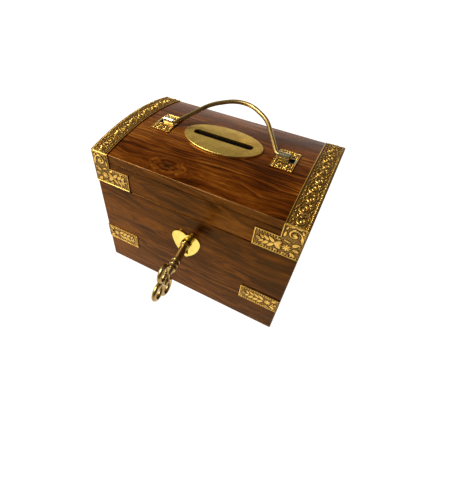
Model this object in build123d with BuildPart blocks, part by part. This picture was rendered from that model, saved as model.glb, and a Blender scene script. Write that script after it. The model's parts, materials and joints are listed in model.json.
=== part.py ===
"""Wooden money box: a small hinged chest with an arched lid, brass bands, a slot and a lock.

Frame: origin at the middle of the underside, +X to the right, -Y towards the key side, +Z up.
All lengths are in millimetres and all angles in degrees.
"""
from build123d import *
from math import cos, radians, sin, sqrt, tan
import os

# ---- the wooden case ----
box_width = 102.0
box_depth = 63.5
front_height = 74.5        # floor to the sharp front edge of the lid
lid_rise = 3.7             # height of the arch above that edge
wall = 6.5
bottom_thickness = 5.0
seam_height = 57.2         # top of the four body walls
seam_gap = 0.2             # the closed lid's daylight
lid_board_edge = 4.0       # thickness of the arched board along its front edge

# ---- coin slot ----
slot_length = 30.0
slot_width = 3.9
slot_plate_length = 38.6
slot_plate_width = 22.8
slot_plate_thickness = 1.0
slot_centre_y = 0.7

# ---- brass sheet trim ----
trim_thickness = 0.6
band_width = 9.4
foot_height = 9.6          # L-shaped foot of each band, on the front
foot_length = 19.8         # from the box's end to the foot's tip
foot_lift = 0.2            # foot's lower edge above the lid's lower edge
back_turn = 8.0            # how far the band turns down at the back
strap_bottom = 17.0
strap_height = 9.3
strap_length = 20.0
pin_shank_radius = 0.45
pin_head_radius = 0.8
pin_head_height = 0.35
pin_head_taper = 30.0
pin_length = 4.0
pin_fit = 0.02             # radial clearance of a driven pin in its hole
band_pin_inset = 4.5       # dome pins from the arch's front and back edges
band_pin_count = 3
trim_pin_edge = 2.6        # foot and strap pins from the trim's tip

# ---- handle ----
plate_length = 15.2        # along Y
plate_width = 9.6          # along X
plate_thickness = 0.7
plate_centre_x = 30.2
plate_centre_y = 0.9
plate_pin_inset = 1.5
plate_pin_head_radius = 0.6
rod_radius = 1.0
eye_wall = 0.5
eye_length = 5.2
eye_clearance = 0.08       # radial clearance of the rod in its eye
eye_start = 1.0            # eye's inner end from the plate's inner edge
eye_sink = 0.25            # how deep the eye's tube is rooted in the plate
window_length = 2.4        # opening that the raised eye leaves in the plate
window_width = 3.4
rod_end_show = 0.8         # rod end beyond the eye
leg_x = 25.6               # where the handle's leg crosses its pivot axis
leg_slope = 1.49           # rise over run of the straight legs
leg_height = 16.5          # height of the corner at the top of a leg
crown_height = 24.8        # height of the crown's corner, before rounding
end_bend_radius = 2.2
leg_bend_radius = 20.0
crown_radius = 16.0
handle_lean = 70.0         # lean towards the back from upright

# ---- heart-shaped escutcheon ----
heart_half_width = 7.65
heart_top = 46.0
heart_cleft = 44.9
heart_lobe_x = 4.0
heart_wide_z = 41.0
heart_point = 29.0
heart_belly_x = 5.5
heart_belly_z = 34.9
escutcheon_thickness = 0.8

# ---- key ----
key_height = 39.0          # where the key's axis crosses the box's front face
key_droop = 7.0            # the key hangs this much below level in its worn hole
key_swing = 4.0            # and points this much to the right of straight out
key_stem_radius = 2.0
key_collar_radius = 2.6
key_collar_length = 1.4
key_collar_gap = 0.5
keyhole_clearance = 0.5
keyhole_wood_clearance = 0.9
key_bead_radius = 2.4
key_bead_length = 1.3
key_bead_step = 2.3
key_bead_count = 3
key_shoulder = 16.6        # front face to the bow
key_stem_root = 1.0        # how far the stem runs on into the bow
bit_radius = 6.5
bit_width = 3.6
bit_thickness = 1.6
key_tip = 1.9              # stem beyond the bit's middle
lobe_radius = 4.8
lobe_hole_radius = 2.6
lobe_offset = 6.0          # side lobes' centres from the key's axis
end_lobe_offset = 6.1      # end lobe's centre beyond the side lobes' centres
lobe_lead = 1.2            # side lobes' inner edge beyond the shoulder
bow_thickness = 2.2
bow_boss_radius = 3.6
bow_boss_hole_radius = 1.8

# ---- lock ----
sheet = 0.8                # brass of the lock's case, cover and strike
case_half_width = 14.0
case_top_drop = 1.7        # case top below the body's rim
case_bottom_drop = 10.4    # case bottom below the key's axis
case_depth = 7.5
cover_half_width = 17.8
cover_margin = 1.0
bolt_plane_inset = 4.05    # bolt's middle plane behind the wall's inner face
bolt_thickness = 1.8
bolt_bar_height = 3.5
bolt_bar_drop = 6.4        # bolt bar's middle below the body's rim
bolt_tail = 11.5
bolt_nose = 6.9
bolt_limb_width = 3.0
bolt_foot_height = 2.0
notch_clearance = 0.7
notch_floor_gap = 0.5
horn_width = 3.0
horn_drop = 4.6            # horn tops below the key's axis
bolt_travel = 4.8
guide_radius = 0.75
guide_clearance = 0.05
guide_end_play = 0.2
guide_x = -3.0
staple_x = 8.6
staple_thickness = 1.2
staple_half_width = 2.2
staple_window_half = 1.15
staple_window_gap = 0.4
staple_tip = 1.4
staple_slot_gap = 0.6
strike_lift = 1.8          # strike flange above the lid's lower edge
strike_half_width = 11.0
strike_height = 9.0
screw_shank_radius = 0.8
screw_head_radius = 1.5
screw_head_height = 0.7
screw_head_taper = 25.0
screw_length = 4.6
screw_inset = 3.0          # screw's middle from its plate's edge
screw_fit = 0.03
spring_thickness = 0.35
spring_gap = 0.15
spring_end_gap = 1.0       # spring's right end from the staple's slot

# ---- hinges ----
hinge_length = 16.0
hinge_centre_x = 32.0
leaf_height = 9.0
leaf_thickness = 0.7
knuckle_radius = 1.6
knuckle_gap = 0.2
knuckle_stand_off = 0.3    # knuckle clear of the wood
hinge_pin_radius = 0.75
hinge_clearance = 0.05
leaf_clearance = 0.3
leaf_screw_spacing = 9.6
leaf_screw_edge = 2.6

# ---- places worked out from the values above ----
half_width = box_width / 2
half_depth = box_depth / 2
front_y = -half_depth
inner_y = front_y + wall
lid_bottom = seam_height + seam_gap
board_bottom = front_height - lid_board_edge
arch_radius = (half_depth ** 2 + lid_rise ** 2) / (2 * lid_rise)
arch_centre_z = front_height + lid_rise - arch_radius
hinge_y = half_depth + knuckle_stand_off + knuckle_radius
bolt_plane_depth = wall + bolt_plane_inset
bolt_y = front_y + bolt_plane_depth
droop = radians(key_droop)
swing = radians(key_swing)
key_direction = Vector(cos(droop) * sin(swing), -cos(droop) * cos(swing), -sin(droop))
key_side_step = -tan(swing)
key_rise_step = tan(droop) / cos(swing)
lock_x = bolt_plane_depth * key_side_step
lock_z = key_height + bolt_plane_depth * key_rise_step
bolt_bar_z = seam_height - bolt_bar_drop
cover_y = inner_y + sheet
case_back_y = cover_y + case_depth
case_top = seam_height - case_top_drop
case_bottom = lock_z - case_bottom_drop
strike_z = lid_bottom + strike_lift


def arch_plane(x, y, lift=0.0):
    """Plane that lies on the arch at (x, y), raised by lift, with its normal outwards."""
    rise = sqrt(arch_radius ** 2 - y ** 2)
    normal = Vector(0, y / arch_radius, rise / arch_radius)
    on_arch = Vector(x, y, arch_centre_z + rise)
    return Plane(origin=on_arch + normal * lift, x_dir=(1, 0, 0), z_dir=normal)


def front_plane(x, z, lift=0.0):
    """Plane on the box's front face at (x, z), raised by lift, with its normal outwards."""
    return Plane(origin=(x, front_y - lift, z), x_dir=(1, 0, 0), z_dir=(0, -1, 0))


def back_plane(x, z, lift=0.0):
    """Plane on the box's back face at (x, z), raised by lift, with its normal outwards."""
    return Plane(origin=(x, half_depth + lift, z), x_dir=(-1, 0, 0), z_dir=(0, 1, 0))


def inside_plane(x, z, lift=0.0):
    """Plane on the inside of the front wall at (x, z), with its normal into the box."""
    return Plane(origin=(x, inner_y + lift, z), x_dir=(-1, 0, 0), z_dir=(0, 1, 0))


os.makedirs("parts", exist_ok=True)


def save(builder, name):
    """Label a finished piece and write it as one STEP file."""
    builder.part.label = name
    export_step(builder.part, f"parts/{name}.step")


# ---- places of the fasteners ----
arch_pin_span = half_depth - band_pin_inset
arch_pin_ys = [
    -arch_pin_span + 2 * arch_pin_span * i / (band_pin_count - 1) for i in range(band_pin_count)
]
band_centre_x = half_width - band_width / 2
foot_bottom = lid_bottom + foot_lift
foot_z = foot_bottom + foot_height / 2
foot_pin_x = half_width - foot_length + trim_pin_edge
strap_z = strap_bottom + strap_height / 2
strap_pin_xs = [half_width - strap_length + trim_pin_edge, half_width - trim_pin_edge]
back_pin_z = front_height - back_turn + trim_pin_edge
plate_pin_dx = plate_width / 2 - plate_pin_inset
plate_pin_dy = plate_length / 2 - plate_pin_inset
cover_screw_x = (case_half_width + cover_half_width) / 2
cover_screw_z = [case_bottom + screw_inset, case_top - screw_inset]
strike_screw_x = strike_half_width - screw_inset
strike_screw_z = strike_z + strike_height - screw_inset
leaf_screw_drop = leaf_height - leaf_screw_edge


def band_arch_pins(side):
    """Planes of the pins along one band's arch; side is -1 for left and +1 for right."""
    return [arch_plane(side * band_centre_x, y, trim_thickness) for y in arch_pin_ys]


def handle_pin_planes(side):
    """Planes of the four corner pins of one handle plate."""
    return [
        arch_plane(side * plate_centre_x + dx, plate_centre_y + dy, plate_thickness)
        for dx in (-plate_pin_dx, plate_pin_dx)
        for dy in (-plate_pin_dy, plate_pin_dy)
    ]


def leaf_screw_planes(side, way):
    """Planes of one leaf's two screws; way is -1 below the knuckle and +1 above it."""
    return [
        back_plane(side * hinge_centre_x + dx, seam_height + way * leaf_screw_drop, leaf_thickness)
        for dx in (-leaf_screw_spacing / 2, leaf_screw_spacing / 2)
    ]


cover_screw_planes = [
    inside_plane(x, z, sheet) for x in (-cover_screw_x, cover_screw_x) for z in cover_screw_z
]
strike_screw_planes = [
    inside_plane(x, strike_screw_z, sheet) for x in (-strike_screw_x, strike_screw_x)
]
pin_hole = pin_shank_radius + pin_fit
screw_hole = screw_shank_radius + screw_fit


# ---- body boards ----
keyhole_x = wall / 2 * key_side_step
keyhole_z = key_height + wall / 2 * key_rise_step
cover_hole_depth = wall + sheet / 2
cover_hole_x = cover_hole_depth * key_side_step
cover_hole_z = key_height + cover_hole_depth * key_rise_step
keyhole_radius = key_stem_radius + keyhole_wood_clearance
keyslot_half = bit_thickness / 2 + keyhole_clearance
keyslot_depth = bit_radius + keyhole_wood_clearance

with BuildPart() as front_panel:
    with BuildSketch(Plane.XY):
        with Locations((0, (front_y + inner_y) / 2)):
            Rectangle(box_width, wall)
    extrude(amount=seam_height)
    with BuildSketch(front_plane(keyhole_x, keyhole_z)):
        Circle(keyhole_radius)
        with Locations((0, -keyslot_depth / 2)):
            Rectangle(2 * keyslot_half, keyslot_depth)
    extrude(amount=-wall, mode=Mode.SUBTRACT)
    with Locations(*[front_plane(s * x, strap_z) for s in (-1, 1) for x in strap_pin_xs]):
        Hole(pin_hole, depth=pin_length)
    with Locations(*cover_screw_planes):
        Hole(screw_hole, depth=screw_length)
save(front_panel, "front_panel")

with BuildPart() as back_panel:
    with BuildSketch(Plane.XY):
        with Locations((0, half_depth - wall / 2)):
            Rectangle(box_width, wall)
    extrude(amount=seam_height)
    with Locations(*leaf_screw_planes(-1, -1), *leaf_screw_planes(1, -1)):
        Hole(screw_hole, depth=screw_length)
save(back_panel, "back_panel")

for side, name in ((-1, "left"), (1, "right")):
    with BuildPart() as end_panel:
        with BuildSketch(Plane.XY):
            with Locations((side * (half_width - wall / 2), 0)):
                Rectangle(wall, box_depth - 2 * wall)
        extrude(amount=seam_height)
    save(end_panel, f"{name}_end_panel")

with BuildPart() as bottom_panel:
    with BuildSketch(Plane.XY):
        Rectangle(box_width - 2 * wall, box_depth - 2 * wall)
    extrude(amount=bottom_thickness)
save(bottom_panel, "bottom_panel")


# ---- corner straps on the body ----
for side, name in ((-1, "left"), (1, "right")):
    with BuildPart() as strap:
        with BuildSketch(front_plane(side * (half_width - strap_length / 2), strap_z)):
            Rectangle(strap_length, strap_height)
        extrude(amount=trim_thickness)
        with Locations(*[front_plane(side * x, strap_z, trim_thickness) for x in strap_pin_xs]):
            Hole(pin_hole, depth=trim_thickness)
    save(strap, f"corner_strap_{name}")


def pins(planes, head_radius):
    """Round-headed pins standing in the given planes, heads outwards, as one group."""
    with BuildPart() as group:
        for plane in planes:
            with BuildSketch(plane):
                Circle(head_radius)
            extrude(amount=pin_head_height, taper=pin_head_taper)
            with BuildSketch(plane):
                Circle(pin_shank_radius)
            extrude(amount=-pin_length)
    return group


def screws(planes):
    """Slotted round-headed screws standing in the given planes, as one group."""
    with BuildPart() as group:
        for plane in planes:
            with BuildSketch(plane):
                Circle(screw_head_radius)
            extrude(amount=screw_head_height, taper=screw_head_taper)
            with BuildSketch(plane.offset(screw_head_height)):
                Rectangle(2 * screw_head_radius, screw_head_height / 2)
            extrude(amount=-screw_head_height / 2, mode=Mode.SUBTRACT)
            with BuildSketch(plane):
                Circle(screw_shank_radius)
            extrude(amount=-screw_length)
    return group


strap_pin_planes = [
    front_plane(s * x, strap_z, trim_thickness) for s in (-1, 1) for x in strap_pin_xs
]
save(pins(strap_pin_planes, pin_head_radius), "strap_pins")


# ---- escutcheon ----
escutcheon_keyhole = key_stem_radius + keyhole_clearance

with BuildPart() as escutcheon:
    with BuildSketch(front_plane(0, 0)):
        with BuildLine():
            lobe = ThreePointArc(
                (0, heart_cleft), (heart_lobe_x, heart_top), (heart_half_width, heart_wide_z)
            )
            flank = ThreePointArc(lobe @ 1, (heart_belly_x, heart_belly_z), (0, heart_point))
            mirror(about=Plane.YZ)
        make_face()
        with Locations((0, key_height)):
            Circle(escutcheon_keyhole, mode=Mode.SUBTRACT)
        with Locations((0, key_height - keyslot_depth / 2)):
            Rectangle(2 * keyslot_half, keyslot_depth, mode=Mode.SUBTRACT)
    extrude(amount=escutcheon_thickness)
save(escutcheon, "escutcheon")


# ---- lock ----
case_height = case_top - case_bottom
staple_reach = bolt_bar_z - bolt_bar_height / 2 - staple_window_gap - staple_tip

with BuildPart() as lock_cover_plate:
    with BuildSketch(inside_plane(0, (case_top + case_bottom) / 2)):
        Rectangle(2 * cover_half_width, case_height + 2 * cover_margin)
    extrude(amount=sheet)
    with BuildSketch(inside_plane(cover_hole_x, cover_hole_z)):
        Circle(keyhole_radius)
        with Locations((0, -keyslot_depth / 2)):
            Rectangle(2 * keyslot_half, keyslot_depth)
    extrude(amount=sheet, mode=Mode.SUBTRACT)
    with Locations(*cover_screw_planes):
        Hole(screw_hole, depth=sheet)
save(lock_cover_plate, "lock_cover_plate")

with BuildPart() as lock_case:
    with BuildSketch(Plane(origin=(0, cover_y, 0), x_dir=(1, 0, 0), z_dir=(0, -1, 0))):
        with Locations((0, (case_top + case_bottom) / 2)):
            Rectangle(2 * case_half_width, case_height)
    extrude(amount=-case_depth)
    with BuildSketch(Plane(origin=(0, cover_y, 0), x_dir=(1, 0, 0), z_dir=(0, -1, 0))):
        with Locations((0, (case_top + case_bottom) / 2)):
            Rectangle(2 * (case_half_width - sheet), case_height - 2 * sheet)
    extrude(amount=-(case_depth - sheet), mode=Mode.SUBTRACT)
    with BuildSketch(Plane.XY.offset(case_top)):
        with Locations((staple_x, bolt_y)):
            Rectangle(
                staple_thickness + 2 * staple_slot_gap,
                2 * (bolt_y - cover_y),
            )
    extrude(amount=-sheet, mode=Mode.SUBTRACT)
    with BuildSketch(Plane(origin=(0, case_back_y, 0), x_dir=(1, 0, 0), z_dir=(0, -1, 0))):
        with Locations((lock_x, lock_z)):
            Circle(keyhole_radius)
    extrude(amount=sheet, mode=Mode.SUBTRACT)
    with BuildSketch(Plane(origin=(0, case_back_y, 0), x_dir=(1, 0, 0), z_dir=(0, -1, 0))):
        with Locations((guide_x, bolt_bar_z)):
            Circle(guide_radius)
    extrude(amount=case_depth - sheet)
save(lock_case, "lock_case")

save(screws(cover_screw_planes), "lock_screws")

notch_half_width = bit_thickness / 2 + notch_clearance
notch_floor = lock_z - bit_radius - notch_floor_gap
bolt_foot_bottom = notch_floor - bolt_foot_height
horn_top = lock_z - horn_drop
horn_reach = notch_half_width + horn_width
horn_end = lock_x + horn_reach
horn_root = notch_floor - bolt_foot_height / 2

with BuildPart() as lock_bolt:
    with BuildSketch(Plane(origin=(0, bolt_y, 0), x_dir=(1, 0, 0), z_dir=(0, -1, 0))):
        with Locations(((bolt_nose - bolt_tail) / 2, bolt_bar_z)):
            Rectangle(bolt_nose + bolt_tail, bolt_bar_height)
        with Locations((-bolt_tail + bolt_limb_width / 2, (bolt_bar_z + bolt_foot_bottom) / 2)):
            Rectangle(bolt_limb_width, bolt_bar_z - bolt_foot_bottom)
        with Locations(((horn_end - bolt_tail) / 2, notch_floor - bolt_foot_height / 2)):
            Rectangle(horn_end + bolt_tail, bolt_foot_height)
        with Locations((lock_x, (horn_top + horn_root) / 2)):
            Rectangle(2 * horn_reach, horn_top - horn_root)
        with Locations((lock_x, (horn_top + notch_floor) / 2)):
            Rectangle(2 * notch_half_width, horn_top - notch_floor, mode=Mode.SUBTRACT)
        with Locations((guide_x - bolt_travel / 2, bolt_bar_z)):
            SlotCenterToCenter(
                bolt_travel + 2 * guide_end_play, 2 * (guide_radius + guide_clearance), mode=Mode.SUBTRACT
            )
    extrude(amount=bolt_thickness / 2, both=True)
save(lock_bolt, "lock_bolt")

spring_left = -case_half_width + sheet
spring_right = staple_x - staple_thickness / 2 - staple_slot_gap - spring_end_gap
spring_top = case_top - sheet
spring_low = bolt_bar_z + bolt_bar_height / 2 + spring_gap
spring_mid = (spring_left + spring_right) / 2

with BuildPart() as bolt_spring:
    with BuildSketch(Plane(origin=(0, bolt_y, 0), x_dir=(1, 0, 0), z_dir=(0, -1, 0))):
        with BuildLine():
            under = ThreePointArc(
                (spring_left, spring_top - spring_thickness),
                (spring_mid, spring_low),
                (spring_right, spring_top - spring_thickness),
            )
            right_tip = Line(under @ 1, (spring_right, spring_top))
            over = ThreePointArc(
                right_tip @ 1,
                (spring_mid, spring_low + spring_thickness),
                (spring_left, spring_top),
            )
            Line(over @ 1, under @ 0)
        make_face()
    extrude(amount=bolt_thickness / 2, both=True)
save(bolt_spring, "bolt_spring")


# ---- hinges ----
hinge_axis = Plane(origin=(0, hinge_y, seam_height), x_dir=(0, 1, 0), z_dir=(1, 0, 0))
centre_knuckle = (hinge_length - 4 * knuckle_gap) / 3
end_knuckle = (hinge_length - centre_knuckle - 2 * knuckle_gap) / 2
hinge_root = hinge_y - half_depth - hinge_pin_radius - hinge_clearance
plate_clear = knuckle_radius + leaf_clearance

for side, name in ((-1, "left"), (1, "right")):
    first_x = side * hinge_centre_x - hinge_length / 2
    middle_x = first_x + end_knuckle + knuckle_gap
    last_x = first_x + hinge_length - end_knuckle
    body_knuckles = [(first_x, end_knuckle), (last_x, end_knuckle)]
    lid_knuckles = [(middle_x, centre_knuckle)]
    for way, owner, knuckles, bore_fit in (
        (-1, "body", body_knuckles, pin_fit),
        (1, "lid", lid_knuckles, hinge_clearance),
    ):
        plate_z = seam_height + way * (leaf_height + plate_clear) / 2
        web_z = seam_height + way * leaf_height / 2
        root_z = seam_height + way * knuckle_radius / 2
        with BuildPart() as leaf:
            with BuildSketch(Plane.YZ.offset(first_x)):
                with Locations((half_depth + leaf_thickness / 2, plate_z)):
                    Rectangle(leaf_thickness, leaf_height - plate_clear)
            extrude(amount=hinge_length)
            for start, length in knuckles:
                with BuildSketch(Plane.YZ.offset(start)):
                    with Locations((hinge_y, seam_height)):
                        Circle(knuckle_radius)
                    with Locations((half_depth + leaf_thickness / 2, web_z)):
                        Rectangle(leaf_thickness, leaf_height)
                    with Locations((half_depth + hinge_root / 2, root_z)):
                        Rectangle(hinge_root, knuckle_radius)
                extrude(amount=length)
            with BuildSketch(hinge_axis.offset(first_x)):
                Circle(hinge_pin_radius + bore_fit)
            extrude(amount=hinge_length, mode=Mode.SUBTRACT)
            with Locations(*leaf_screw_planes(side, way)):
                Hole(screw_hole, depth=leaf_thickness)
        save(leaf, f"hinge_{owner}_leaf_{name}")

    with BuildPart() as hinge_pin:
        with BuildSketch(hinge_axis.offset(first_x)):
            Circle(hinge_pin_radius)
        extrude(amount=hinge_length)
    save(hinge_pin, f"hinge_pin_{name}")

save(screws(leaf_screw_planes(-1, -1) + leaf_screw_planes(1, -1)), "hinge_body_screws")
save(screws(leaf_screw_planes(-1, 1) + leaf_screw_planes(1, 1)), "hinge_lid_screws")


# ---- lid boards ----
rail_height = board_bottom - lid_bottom

with BuildPart() as lid_front_rail:
    with BuildSketch(Plane.XY.offset(lid_bottom)):
        with Locations((0, (front_y + inner_y) / 2)):
            Rectangle(box_width, wall)
    extrude(amount=rail_height)
    with Locations(*[front_plane(s * foot_pin_x, foot_z) for s in (-1, 1)]):
        Hole(pin_hole, depth=pin_length)
    with Locations(*strike_screw_planes):
        Hole(screw_hole, depth=screw_length)
save(lid_front_rail, "lid_front_rail")

with BuildPart() as lid_back_rail:
    with BuildSketch(Plane.XY.offset(lid_bottom)):
        with Locations((0, half_depth - wall / 2)):
            Rectangle(box_width, wall)
    extrude(amount=rail_height)
    with Locations(*leaf_screw_planes(-1, 1), *leaf_screw_planes(1, 1)):
        Hole(screw_hole, depth=screw_length)
    with Locations(*[back_plane(s * band_centre_x, back_pin_z) for s in (-1, 1)]):
        Hole(pin_hole, depth=pin_length)
save(lid_back_rail, "lid_back_rail")

for side, name in ((-1, "left"), (1, "right")):
    with BuildPart() as lid_end:
        with BuildSketch(Plane.XY.offset(lid_bottom)):
            with Locations((side * (half_width - wall / 2), 0)):
                Rectangle(wall, box_depth - 2 * wall)
        extrude(amount=rail_height)
        with Locations(*band_arch_pins(side)):
            Hole(pin_hole, depth=trim_thickness + pin_length)
    save(lid_end, f"lid_{name}_end")

with BuildPart() as lid_top:
    with BuildSketch(Plane.YZ):
        with BuildLine():
            arch = ThreePointArc(
                (-half_depth, front_height),
                (0, front_height + lid_rise),
                (half_depth, front_height),
            )
            Polyline(
                arch @ 1, (half_depth, board_bottom), (-half_depth, board_bottom), arch @ 0
            )
        make_face()
    extrude(amount=half_width, both=True)
    with BuildSketch(Plane.XY.offset(board_bottom)):
        with Locations((0, slot_centre_y)):
            SlotOverall(slot_length, slot_width)
    extrude(amount=lid_board_edge + lid_rise, mode=Mode.SUBTRACT)
    with Locations(*band_arch_pins(-1), *band_arch_pins(1)):
        Hole(pin_hole, depth=trim_thickness + pin_length)
    with Locations(*handle_pin_planes(-1), *handle_pin_planes(1)):
        Hole(pin_hole, depth=plate_thickness + pin_length)
save(lid_top, "lid_top")


# ---- brass on the lid ----
def arch_sheet(thickness):
    """A whole tube of sheet whose crown lies on the arch; trim is cut out of it."""
    with BuildPart() as sheet_stock:
        with BuildSketch(Plane.YZ):
            with Locations((0, arch_centre_z)):
                Circle(arch_radius + thickness)
                Circle(arch_radius, mode=Mode.SUBTRACT)
        extrude(amount=box_width, both=True)
    return sheet_stock.part


slot_plate_stock = arch_sheet(slot_plate_thickness)
handle_plate_stock = arch_sheet(plate_thickness)
slot_plate_room = lid_rise + lid_board_edge + slot_plate_thickness + plate_thickness

with BuildPart() as slot_plate:
    with BuildSketch(Plane.XY.offset(board_bottom)):
        with Locations((0, slot_centre_y)):
            Ellipse(slot_plate_length / 2, slot_plate_width / 2)
            SlotOverall(slot_length, slot_width, mode=Mode.SUBTRACT)
    extrude(amount=slot_plate_room)
    add(slot_plate_stock, mode=Mode.INTERSECT)
save(slot_plate, "slot_plate")

for side, name in ((-1, "left"), (1, "right")):
    with BuildPart() as band:
        with BuildSketch(Plane.YZ.offset(side * band_centre_x)):
            with BuildLine():
                inner = ThreePointArc(
                    (-half_depth, front_height),
                    (0, front_height + lid_rise),
                    (half_depth, front_height),
                )
                outer = ThreePointArc(
                    (half_depth + trim_thickness, front_height + trim_thickness / 2),
                    (0, front_height + lid_rise + trim_thickness),
                    (-half_depth - trim_thickness, front_height + trim_thickness / 2),
                )
                Polyline(
                    outer @ 1,
                    (-half_depth - trim_thickness, foot_bottom),
                    (-half_depth, foot_bottom),
                    inner @ 0,
                )
                Polyline(
                    inner @ 1,
                    (half_depth, front_height - back_turn),
                    (half_depth + trim_thickness, front_height - back_turn),
                    outer @ 0,
                )
            make_face()
        extrude(amount=band_width / 2, both=True)
        with BuildSketch(front_plane(side * (half_width - foot_length / 2), foot_z)):
            Rectangle(foot_length, foot_height)
        extrude(amount=trim_thickness)
        with Locations(*band_arch_pins(side)):
            Hole(pin_hole, depth=2 * trim_thickness)
        with Locations(front_plane(side * foot_pin_x, foot_z, trim_thickness)):
            Hole(pin_hole, depth=trim_thickness)
        with Locations(back_plane(side * band_centre_x, back_pin_z, trim_thickness)):
            Hole(pin_hole, depth=trim_thickness)
    save(band, f"band_{name}")

band_pin_planes = band_arch_pins(-1) + band_arch_pins(1)
band_pin_planes += [front_plane(s * foot_pin_x, foot_z, trim_thickness) for s in (-1, 1)]
band_pin_planes += [
    back_plane(s * band_centre_x, back_pin_z, trim_thickness) for s in (-1, 1)
]
save(pins(band_pin_planes, pin_head_radius), "band_pins")


# ---- handle ----
arch_top_at_plate = arch_plane(0, plate_centre_y).origin.Z
eye_radius = rod_radius + eye_clearance + eye_wall
pivot_z = arch_top_at_plate + plate_thickness + eye_radius - eye_sink
plate_inner_x = plate_centre_x - plate_width / 2
eye_inner_x = plate_inner_x + eye_start
eye_outer_x = eye_inner_x + eye_length
rod_end_x = eye_outer_x + rod_end_show

for side, name in ((-1, "left"), (1, "right")):
    eye_start_plane = Plane(
        origin=(side * eye_inner_x, plate_centre_y, pivot_z), x_dir=(0, 1, 0), z_dir=(side, 0, 0)
    )
    with BuildPart() as handle_plate:
        with BuildSketch(Plane.XY.offset(board_bottom)):
            with Locations((side * plate_centre_x, plate_centre_y)):
                Rectangle(plate_width, plate_length)
        extrude(amount=slot_plate_room)
        add(handle_plate_stock, mode=Mode.INTERSECT)
        with BuildSketch(Plane.XY.offset(board_bottom)):
            with Locations((side * (eye_outer_x + window_length / 2), plate_centre_y)):
                Rectangle(window_length, window_width)
        extrude(amount=slot_plate_room, mode=Mode.SUBTRACT)
        with BuildSketch(eye_start_plane):
            Circle(eye_radius)
        extrude(amount=eye_length)
        with BuildSketch(eye_start_plane.offset(-eye_length)):
            Circle(rod_radius + eye_clearance)
        extrude(amount=3 * eye_length, mode=Mode.SUBTRACT)
        with BuildSketch(Plane.YZ):
            with Locations((0, arch_centre_z)):
                Circle(arch_radius)
        extrude(amount=box_width, both=True, mode=Mode.SUBTRACT)
        with Locations(*handle_pin_planes(side)):
            Hole(pin_hole, depth=plate_thickness)
    save(handle_plate, f"handle_plate_{name}")

plate_pin_planes = handle_pin_planes(-1) + handle_pin_planes(1)
save(pins(plate_pin_planes, plate_pin_head_radius), "handle_plate_pins")

lean = radians(handle_lean)
handle_plane = Plane(
    origin=(0, plate_centre_y, pivot_z), x_dir=(1, 0, 0), z_dir=(0, -cos(lean), sin(lean))
)
leg_top_x = leg_x - leg_height / leg_slope

with BuildPart() as handle_bail:
    with BuildLine(handle_plane) as handle_path:
        FilletPolyline(
            (-rod_end_x, 0),
            (-leg_x, 0),
            (-leg_top_x, leg_height),
            (0, crown_height),
            (leg_top_x, leg_height),
            (leg_x, 0),
            (rod_end_x, 0),
            radius=[
                end_bend_radius,
                leg_bend_radius,
                crown_radius,
                leg_bend_radius,
                end_bend_radius,
            ],
        )
    with BuildSketch(
        Plane(origin=(-rod_end_x, plate_centre_y, pivot_z), x_dir=(0, 1, 0), z_dir=(1, 0, 0))
    ):
        Circle(rod_radius)
    sweep(path=handle_path.wires()[0])
save(handle_bail, "handle_bail")


# ---- strike on the lid ----
strike_depth = bolt_y - inner_y + staple_half_width

with BuildPart() as lock_strike:
    with BuildSketch(inside_plane(0, strike_z + strike_height / 2)):
        Rectangle(2 * strike_half_width, strike_height)
    extrude(amount=sheet)
    with BuildSketch(Plane.XY.offset(strike_z)):
        with Locations((0, inner_y + strike_depth / 2)):
            Rectangle(2 * strike_half_width, strike_depth)
    extrude(amount=sheet)
    with BuildSketch(Plane.YZ.offset(staple_x)):
        with Locations((bolt_y, (strike_z + staple_reach) / 2)):
            Rectangle(2 * staple_half_width, strike_z - staple_reach)
        with Locations((bolt_y, bolt_bar_z)):
            Rectangle(
                2 * staple_window_half,
                bolt_bar_height + 2 * staple_window_gap,
                mode=Mode.SUBTRACT,
            )
    extrude(amount=staple_thickness / 2, both=True)
    with Locations(*strike_screw_planes):
        Hole(screw_hole, depth=sheet)
save(lock_strike, "lock_strike")

save(screws(strike_screw_planes), "strike_screws")


# ---- key ----
key_root = Plane(
    origin=(0, front_y, key_height), x_dir=(cos(swing), sin(swing), 0), z_dir=key_direction
)
bow_plane = Plane(
    origin=(0, front_y, key_height), x_dir=key_direction, z_dir=(cos(swing), sin(swing), 0)
)
bit_depth = bolt_plane_depth / (cos(droop) * cos(swing))
collar_start = escutcheon_thickness + key_collar_gap
lobe_centre = key_shoulder + lobe_radius + lobe_lead
end_lobe_centre = lobe_centre + end_lobe_offset
boss_centre = key_shoulder + bow_boss_radius + bow_boss_hole_radius

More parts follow.
